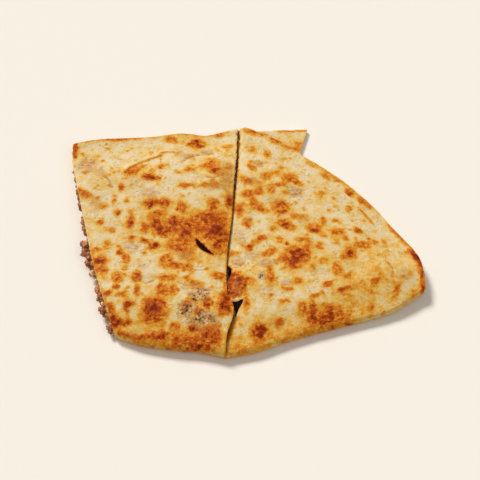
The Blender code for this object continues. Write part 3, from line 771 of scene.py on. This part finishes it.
def filling_core(name, node, shape, s_low, s_high, columns, rows, seed):
    """Build the bed of filling as a block with lumpy sides."""
    bm = bmesh.new()
    bmesh.ops.create_grid(bm, x_segments=columns, y_segments=rows, size=0.5)
    top = bm.faces[:]
    for level in range(CORE_LEVELS):
        grown = bmesh.ops.extrude_face_region(bm, geom=top)["geom"]
        if level > 0:
            bmesh.ops.delete(bm, geom=top, context="FACES")
        top = [item for item in grown if isinstance(item, bmesh.types.BMFace)]
        verts = [item for item in grown if isinstance(item, bmesh.types.BMVert)]
        bmesh.ops.translate(bm, verts=verts, vec=(0, 0, 1 / CORE_LEVELS))
    bm.verts.ensure_lookup_table()
    cube = np.array([vert.co for vert in bm.verts])
    s = s_low + (s_high - s_low) * np.clip(cube[:, 0] + 0.5, 0, 1)
    run = length(shape, s)
    along = np.clip(cube[:, 1] + 0.5, 0, 1)
    t = (FILLING_FROM_FOLD + along * (run - FILLING_FROM_FOLD - FILLING_FROM_RIM)) / run
    points = plan(shape, s, t)
    floor = lift(points) + LAYER + 0.4
    roof = top_height(shape, s, t, points) - LAYER - 0.9
    height = floor + (roof - floor) * cube[:, 2]
    lumps = np.array([noise.noise(Vector(p) / 4.2 + Vector((seed, 0, 0))) for p in np.column_stack((points, height * 1.3))])
    fine = np.array([noise.noise(Vector(p) / 1.7 + Vector((seed, 9, 0))) for p in np.column_stack((points, height))])
    belly = np.sin(np.pi * (0.12 + 0.76 * cube[:, 2]))
    left_side = cube[:, 0] < -0.499
    right_side = cube[:, 0] > 0.499
    push = (0.8 * lumps + 0.35 * fine) * belly
    points[:, 0] += np.where(left_side, -push, 0) + np.where(right_side, push * 0.4, 0)
    height += np.where(cube[:, 2] > 0.99, 0.25 * fine, 0)
    for pit in PITS:
        depth = PIT_SHARE * np.exp(-(ellipse_distance(points, *pit) ** 2))
        height = floor + (height - floor) * (1 - depth)
    places = np.column_stack((points, height))
    # deep: how far a point lies inside a pit; the beef material paints the meat darker there, as painted shade
    deep = np.max([np.exp(-(ellipse_distance(points, *pit) ** 2)) for pit in PITS], axis=0)
    pit_shade_layer = bm.verts.layers.float.new("deep")
    for index, vert in enumerate(bm.verts):
        vert.co = places[index] * MM
        vert[pit_shade_layer] = deep[index]
    bmesh.ops.recalc_face_normals(bm, faces=bm.faces)
    mesh = bpy.data.meshes.new(name)
    bm.to_mesh(mesh)
    bm.free()
    mesh.shade_smooth()
    piece = bpy.data.objects.new(name, mesh)
    bpy.context.scene.collection.objects.link(piece)
    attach(piece, "root")
    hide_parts(node)
    return piece


left_core = filling_core("left_filling_core", "left_filling", left_slice, 0.012, 0.988, 40, 150, 1)
right_core = filling_core("right_filling_core", "right_filling", right_slice, 0.010, 0.80, 40, 150, 2)

# %% [markdown]
# ## Crumbs of meat and cheese
# Ground beef breaks into crumbs of 3 to 8 mm. Each is an icosphere whose surface is pushed in and
# out by noise, then flattened and turned. They sit along the open cut of the left slice.

# %% Meat crumbs
crumb_rng = random.Random(11)


def add_crumb(bm, centre, radius, seed, detail=3, roughness=0.62, flat=0.8):
    """Add one crumb to the bmesh."""
    grown = bmesh.ops.create_icosphere(bm, subdivisions=detail, radius=1.0)
    turn = Matrix.Rotation(seed * 1.7, 3, "Z") @ Matrix.Rotation(seed * 2.9, 3, "X")
    for vert in grown["verts"]:
        direction = vert.co.normalized()
        bulge = 1 + roughness * noise.noise(direction * 1.3 + Vector((seed * 3.1, 0, 0)))
        bulge += 0.5 * roughness * noise.noise(direction * 3.1 + Vector((0, seed * 2.3, 0)))
        bulge += 0.25 * roughness * noise.noise(direction * 6.5 + Vector((0, 0, seed * 1.9)))
        place = turn @ (direction * bulge)
        place.z *= flat
        vert.co = (Vector(centre) + place * radius) * MM


def left_cut_point(share):
    """Return place and room, floor and roof, at a share of the open cut of the left slice."""
    t = np.array([share])
    s = np.array([0.0])
    point = plan(left_slice, s, t)
    floor = float(lift(point)[0]) + LAYER + 0.3
    roof = float(top_height(left_slice, s, t, point)[0]) - LAYER - 0.4
    return point[0], floor, roof


# Clusters along the cut: share of the cut from front to back, half width, how far they stand out
CLUSTERS = ((0.05, 0.03, 3.2), (0.14, 0.045, 4.6), (0.21, 0.03, 2.6), (0.36, 0.05, 5.0), (0.43, 0.04, 5.2),
            (0.55, 0.05, 2.0), (0.70, 0.05, 1.2))


def crumbs_along_cut():
    """Strew crumbs along the open cut."""
    bm = bmesh.new()
    count = 0
    for middle, half_width, reach in CLUSTERS:
        for _ in range(13):
            share = crumb_rng.uniform(middle - half_width, middle + half_width)
            point, floor, roof = left_cut_point(share)
            radius = min(crumb_rng.uniform(0.9, 2.5), (roof - floor) / 2)
            out = crumb_rng.uniform(0.0, 1.0) * reach - radius * 0.8
            height = crumb_rng.uniform(floor + radius * 0.7, max(roof - radius * 0.7, floor + radius * 0.71))
            add_crumb(bm, (point[0] - out, point[1] + 0.2 * out, height), radius, crumb_rng.uniform(0, 50))
            count += 1
    for index in range(46):
        share = 0.06 + 0.80 * index / 45
        point, floor, roof = left_cut_point(share)
        radius = min(crumb_rng.uniform(1.0, 2.0), (roof - floor) / 2)
        height = crumb_rng.uniform(floor + radius * 0.6, max(roof - radius * 0.6, floor + radius * 0.61))
        add_crumb(bm, (point[0] + crumb_rng.uniform(0.2, 1.4), point[1], height), radius,
                  crumb_rng.uniform(0, 50), detail=2)
        count += 1
    print("crumbs:", count)
    return bm


def finish_piece(bm, name):
    """Turn a bmesh into a piece that rides on the food."""
    mesh = bpy.data.meshes.new(name)
    bm.to_mesh(mesh)
    bm.free()
    mesh.shade_smooth()
    piece = bpy.data.objects.new(name, mesh)
    bpy.context.scene.collection.objects.link(piece)
    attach(piece, "root")
    return piece


beef_crumbs = finish_piece(crumbs_along_cut(), "beef_crumbs")


# %% Crumbs in the seam
SEAM_OPENS = 0.52                # share of the seam, front to back, where the cut starts to stand open
SEAM_CRUMBS = 58


def crumbs_in_seam():
    """Let the filling show, deep in the open part of the cut between the slices."""
    bm = bmesh.new()
    for index in range(SEAM_CRUMBS):
        share = SEAM_OPENS + (0.995 - SEAM_OPENS) * index / (SEAM_CRUMBS - 1)
        t = np.array([share])
        point = seam_middle(t)
        heights = [top_height(shape, np.array([s]), t, point)[0] for shape, s in ((left_slice, 1.0), (right_slice, 0.0))]
        top = float(min(heights))
        deep = crumb_rng.uniform(2.4, 3.0)
        add_crumb(bm, (point[0][0], point[0][1], top - deep), crumb_rng.uniform(1.0, 1.4), index * 1.7, detail=2)
        if crumb_rng.random() < 0.75:
            aside = crumb_rng.uniform(-0.4, 0.4)
            small = crumb_rng.uniform(0.35, 0.75)
            add_crumb(bm, (point[0][0] + aside, point[0][1] + aside, top - 1.0 - small), small, index * 2.3, detail=2)
    return bm


seam_crumbs = finish_piece(crumbs_in_seam(), "seam_crumbs")


# %% Melted cheese
def cheese_bits():
    """Put soft bits of cheese between the crumbs at the open cut."""
    bm = bmesh.new()
    for share, out, radius in ((0.31, 1.6, 1.5), (0.27, 0.6, 1.2), (0.36, 0.5, 1.3), (0.47, 1.0, 1.3), (0.56, 0.2, 1.5),
                               (0.66, 0.2, 1.3), (0.155, 0.8, 1.2), (0.82, -0.2, 1.0)):
        point, floor, roof = left_cut_point(share)
        height = floor + 0.6 * (roof - floor)
        add_crumb(bm, (point[0] - out, point[1], height), radius, share * 40, roughness=0.25, flat=1.25)
    return bm


melted_cheese = finish_piece(cheese_bits(), "melted_cheese")


# %% [markdown]
# ## Materials
# The skin's colour is a ramp from cream over yellow and orange to dark brown, driven by the toast
# field and broken up by noise of three sizes, and painted a little darker in the small dips of
# the fine bump, as painted shade. The cut faces and the stains, with the painted shade of the
# creases and the seam, are mixed over it.

# %% Node helpers
def srgb(red, green, blue):
    """Turn a colour as it is picked on a screen into the linear one that Blender uses."""
    linear = []
    for value in (red / 255, green / 255, blue / 255):
        linear.append(value / 12.92 if value <= 0.04045 else ((value + 0.055) / 1.055) ** 2.4)
    return (*linear, 1.0)


class Nodes:
    """A short way to write a node tree."""

    def __init__(self, name):
        self.material = bpy.data.materials.new(name)
        self.material.use_nodes = True
        self.tree = self.material.node_tree
        self.shader = self.tree.nodes["Principled BSDF"]
        self.place = self.tree.nodes.new("ShaderNodeTexCoord").outputs["Object"]

    def put(self, socket, value):
        if isinstance(value, bpy.types.NodeSocket):
            self.tree.links.new(value, socket)
        else:
            socket.default_value = value

    def math(self, operation, a, b=0.0, clamp=False):
        node = self.tree.nodes.new("ShaderNodeMath")
        node.operation = operation
        node.use_clamp = clamp
        self.put(node.inputs[0], a)
        self.put(node.inputs[1], b)
        return node.outputs[0]

    def noise(self, size, detail=3.0, rough=0.5, stretch=(1, 1, 1)):
        """Noise whose lumps are about the given size in millimetres."""
        node = self.tree.nodes.new("ShaderNodeTexNoise")
        place = self.place
        if stretch != (1, 1, 1):
            mapping = self.tree.nodes.new("ShaderNodeMapping")
            mapping.inputs["Scale"].default_value = stretch
            self.put(mapping.inputs["Vector"], place)
            place = mapping.outputs["Vector"]
        self.put(node.inputs["Vector"], place)
        node.inputs["Scale"].default_value = 1 / (size * MM)
        node.inputs["Detail"].default_value = detail
        node.inputs["Roughness"].default_value = rough
        return node.outputs["Fac"]

    def attribute(self, name):
        node = self.tree.nodes.new("ShaderNodeAttribute")
        node.attribute_name = name
        return node.outputs["Fac"]

    def window(self, value, low, high, to_low=0.0, to_high=1.0):
        """Map low..high to to_low..to_high, smoothly and clamped."""
        node = self.tree.nodes.new("ShaderNodeMapRange")
        node.interpolation_type = "SMOOTHSTEP"
        self.put(node.inputs["Value"], value)
        node.inputs["From Min"].default_value = low
        node.inputs["From Max"].default_value = high
        node.inputs["To Min"].default_value = to_low
        node.inputs["To Max"].default_value = to_high
        return node.outputs["Result"]

    def ramp(self, value, stops):
        node = self.tree.nodes.new("ShaderNodeValToRGB")
        self.put(node.inputs["Fac"], value)
        elements = node.color_ramp.elements
        elements[0].position = stops[0][0]
        elements[0].color = stops[0][1]
        elements[1].position = stops[-1][0]
        elements[1].color = stops[-1][1]
        for position, colour in stops[1:-1]:
            elements.new(position).color = colour
        return node.outputs["Color"]

    def mix(self, factor, a, b, kind="MIX"):
        node = self.tree.nodes.new("ShaderNodeMix")
        node.data_type = "RGBA"
        node.blend_type = kind
        self.put(node.inputs["Factor"], factor)
        self.put(node.inputs[6], a)
        self.put(node.inputs[7], b)
        return node.outputs[2]

    def bump(self, height, depth, strength=1.0, below=None):
        """Bump of the given depth in millimetres, on top of an earlier bump."""
        node = self.tree.nodes.new("ShaderNodeBump")
        node.inputs["Strength"].default_value = strength
        node.inputs["Distance"].default_value = depth * MM
        self.put(node.inputs["Height"], height)
        if below is not None:
            self.put(node.inputs["Normal"], below)
        return node.outputs["Normal"]


# %% Toasted tortilla
def toasted_tortilla_material():
    look = Nodes("toasted_tortilla")
    toast = look.attribute("toast")
    # the stain field holds the real stains and the painted shade of the creases
    stain_and_crease_shade = look.attribute("stain_and_crease_shade")
    crumb = look.attribute("crumb")
    broad = look.noise(24, 3)
    mottle = look.noise(4.5, 5, 0.6)
    fine = look.noise(1.1, 4, 0.6)
    patches = look.noise(5.5, 4, 0.6)
    grain = look.noise(2.1, 4, 0.65)
    blotch = look.noise(3.2, 4, 0.6)
    cloudy = look.window(broad, 0.35, 0.65, -0.05, 0.07)
    cloudy = look.math("ADD", cloudy, look.window(patches, 0.44, 0.62, 0.0, 0.16))
    cloudy = look.math("MULTIPLY", cloudy, look.window(toast, 0.15, 0.6, 1.0, 0.35))
    texture = look.math("ADD", look.window(grain, 0.3, 0.7, -0.11, 0.10), look.window(fine, 0.3, 0.7, -0.11, 0.11))
    texture = look.math("MULTIPLY", texture, look.window(toast, 0.05, 0.40, 0.55, 1.0))
    spotted = look.math("MULTIPLY", look.window(blotch, 0.40, 0.60, -0.20, 0.13), look.window(toast, 0.40, 0.66))
    texture = look.math("ADD", texture, spotted)
    browning = look.math("ADD", look.math("ADD", toast, cloudy), texture, clamp=True)
    skin = look.ramp(browning, (
        (0.00, srgb(235, 213, 171)),
        (0.10, srgb(233, 204, 145)),
        (0.23, srgb(233, 188, 97)),
        (0.37, srgb(228, 161, 51)),
        (0.50, srgb(215, 127, 30)),
        (0.63, srgb(200, 97, 19)),
        (0.76, srgb(180, 76, 6)),
        (0.88, srgb(154, 54, 2)),
        (1.00, srgb(122, 38, 2)),
    ))
    freckle = look.math("MULTIPLY", look.window(look.noise(1.4, 2), 0.56, 0.64), look.window(look.noise(9, 2), 0.45, 0.6))
    freckle = look.math("MULTIPLY", freckle, look.window(browning, 0.18, 0.45, 0.42, 0.0))
    skin = look.mix(freckle, skin, srgb(140, 102, 66))
    # painted shade: the skin is a little darker where the fine bump dips
    skin = look.mix(1.0, skin, look.window(fine, 0.32, 0.60, 0.87, 1.0), "MULTIPLY")
    speck = look.noise(1.5, 4, 0.65, stretch=(0.35, 1, 1))
    thin = look.math("MULTIPLY", look.window(stain_and_crease_shade, 0.05, 0.75), look.window(speck, 0.36, 0.64, 0.85, 0.25))
    skin = look.mix(thin, skin, look.ramp(fine, ((0.36, srgb(142, 72, 30)), (0.62, srgb(210, 140, 70)))))
    bubble = look.noise(1.25, 3, 0.6)
    whitish = look.math("MULTIPLY", look.window(stain_and_crease_shade, 0.60, 0.95), look.window(blotch, 0.50, 0.58, 0.0, 0.6))
    skin = look.mix(whitish, skin, look.ramp(bubble, ((0.38, srgb(132, 92, 56)), (0.54, srgb(228, 208, 166)))))
    charred = look.math("MULTIPLY", look.window(stain_and_crease_shade, 0.66, 0.95), look.window(blotch, 0.47, 0.56, 1.0, 0.0))
    charred = look.math("MULTIPLY", charred, look.window(bubble, 0.46, 0.56, 1.0, 0.05))
    skin = look.mix(charred, skin, look.ramp(fine, ((0.36, srgb(52, 36, 24)), (0.62, srgb(104, 78, 54)))))
    bread = look.ramp(fine, ((0.3, srgb(206, 170, 112)), (0.6, srgb(238, 216, 172))))
    # painted shade: the cut faces along the seam are painted dark brown
    seam_shade_brown = look.ramp(fine, ((0.3, srgb(84, 38, 14)), (0.6, srgb(152, 92, 42))))
    cut_face = look.mix(look.window(crumb, SEAM_SHADE, 1.0), seam_shade_brown, bread)
    look.put(look.shader.inputs["Base Color"], look.mix(look.window(crumb, 0.0, SEAM_SHADE), skin, cut_face))
    look.put(look.shader.inputs["Roughness"], look.window(browning, 0.2, 0.8, 0.62, 0.48))
    look.shader.inputs["Specular IOR Level"].default_value = 0.07
    normal = look.bump(mottle, 0.6, 0.6)
    normal = look.bump(grain, 0.6, 0.8, normal)
    normal = look.bump(fine, 0.4, 0.8, normal)
    look.put(look.shader.inputs["Normal"], normal)
    return look.material


tortilla_skin = toasted_tortilla_material()
for piece in (left_tortilla, right_tortilla):
    piece.data.materials.clear()
    piece.data.materials.append(tortilla_skin)


# %% Beef and cheese
def beef_material():
    look = Nodes("cooked_beef")
    lumps = look.noise(3.0, 5, 0.65)
    fine = look.noise(0.8, 4, 0.6)
    colour = look.ramp(lumps, (
        (0.30, srgb(100, 46, 20)),
        (0.45, srgb(160, 90, 50)),
        (0.60, srgb(202, 132, 84)),
        (0.75, srgb(232, 178, 126)),
    ))
    colour = look.mix(look.window(fine, 0.5, 0.7, 0, 0.4), colour, srgb(84, 40, 22))
    # painted shade: in the pits under the hollow, the gape and the burst bubble the meat is painted darker
    colour = look.mix(look.window(look.attribute("deep"), 0.0, 0.7, 0.0, 0.8), colour, srgb(58, 18, 6))
    look.put(look.shader.inputs["Base Color"], colour)
    look.put(look.shader.inputs["Roughness"], look.window(fine, 0.3, 0.7, 0.3, 0.6))
    normal = look.bump(lumps, 0.8, 0.6)
    look.put(look.shader.inputs["Normal"], look.bump(fine, 0.3, 0.7, normal))
    return look.material


def cheese_material():
    look = Nodes("melted_cheese")
    soft = look.noise(2.5, 3)
    look.put(look.shader.inputs["Base Color"], look.ramp(soft, ((0.35, srgb(226, 168, 84)), (0.65, srgb(246, 218, 160)))))
    look.put(look.shader.inputs["Roughness"], look.window(soft, 0.3, 0.7, 0.25, 0.4))
    look.put(look.shader.inputs["Normal"], look.bump(soft, 0.3, 0.5))
    return look.material


cooked_beef = beef_material()
for piece in (left_core, right_core, beef_crumbs, seam_crumbs):
    piece.data.materials.append(cooked_beef)
melted_cheese.data.materials.append(cheese_material())

# %% [markdown]
# ## The studio
# A plain pale floor, a soft key light from behind on the left, a fill from the front, and a camera
# that looks down at 54 degrees.

# %% Floor, lights and camera
AIM = Vector((-0.9, -10.0, 12.0)) * MM
CAMERA_DISTANCE = 678 * MM
CAMERA_ELEVATION = math.radians(54)
FLOOR_SIZE = 6.0

bpy.ops.mesh.primitive_plane_add(size=FLOOR_SIZE, location=(0, 0, -0.0002))
floor = bpy.context.object
floor.name = "pale_floor"
floor_look = Nodes("pale_floor")
floor_look.shader.inputs["Base Color"].default_value = srgb(246, 240, 230)
floor_look.shader.inputs["Roughness"].default_value = 0.9
floor.data.materials.append(floor_look.material)


def soft_light(name, azimuth, elevation, strength, spread, colour):
    """Add a far light of the given spread in degrees, so that the floor is lit evenly."""
    light = bpy.data.lights.new(name, "SUN")
    light.angle = math.radians(spread)
    light.energy = strength
    light.color = colour
    lamp = bpy.data.objects.new(name, light)
    bpy.context.scene.collection.objects.link(lamp)
    around = math.radians(azimuth)
    up = math.radians(elevation)
    direction = Vector((math.sin(around) * math.cos(up), math.cos(around) * math.cos(up), math.sin(up)))
    lamp.rotation_euler = direction.to_track_quat("Z", "Y").to_euler()
    return lamp


soft_light("key", azimuth=-38, elevation=44, strength=2.78, spread=18, colour=(1.0, 0.98, 0.94))
soft_light("fill", azimuth=140, elevation=55, strength=0.55, spread=50, colour=(1.0, 0.98, 0.96))

world = bpy.data.worlds.new("studio")
bpy.context.scene.world = world
world.use_nodes = True
world.node_tree.nodes["Background"].inputs["Color"].default_value = (1.0, 0.98, 0.95, 1.0)
world.node_tree.nodes["Background"].inputs["Strength"].default_value = 0.26

camera_data = bpy.data.cameras.new("camera")
camera_data.lens = 87.15
camera_data.sensor_width = 36
camera_data.clip_start = 0.01
camera = bpy.data.objects.new("camera", camera_data)
bpy.context.scene.collection.objects.link(camera)
back_and_up = Vector((0, -math.cos(CAMERA_ELEVATION), math.sin(CAMERA_ELEVATION)))
camera.location = AIM + back_and_up * CAMERA_DISTANCE
camera.rotation_euler = back_and_up.to_track_quat("Z", "Y").to_euler()
bpy.context.scene.camera = camera
bpy.context.scene.view_settings.view_transform = "Standard"
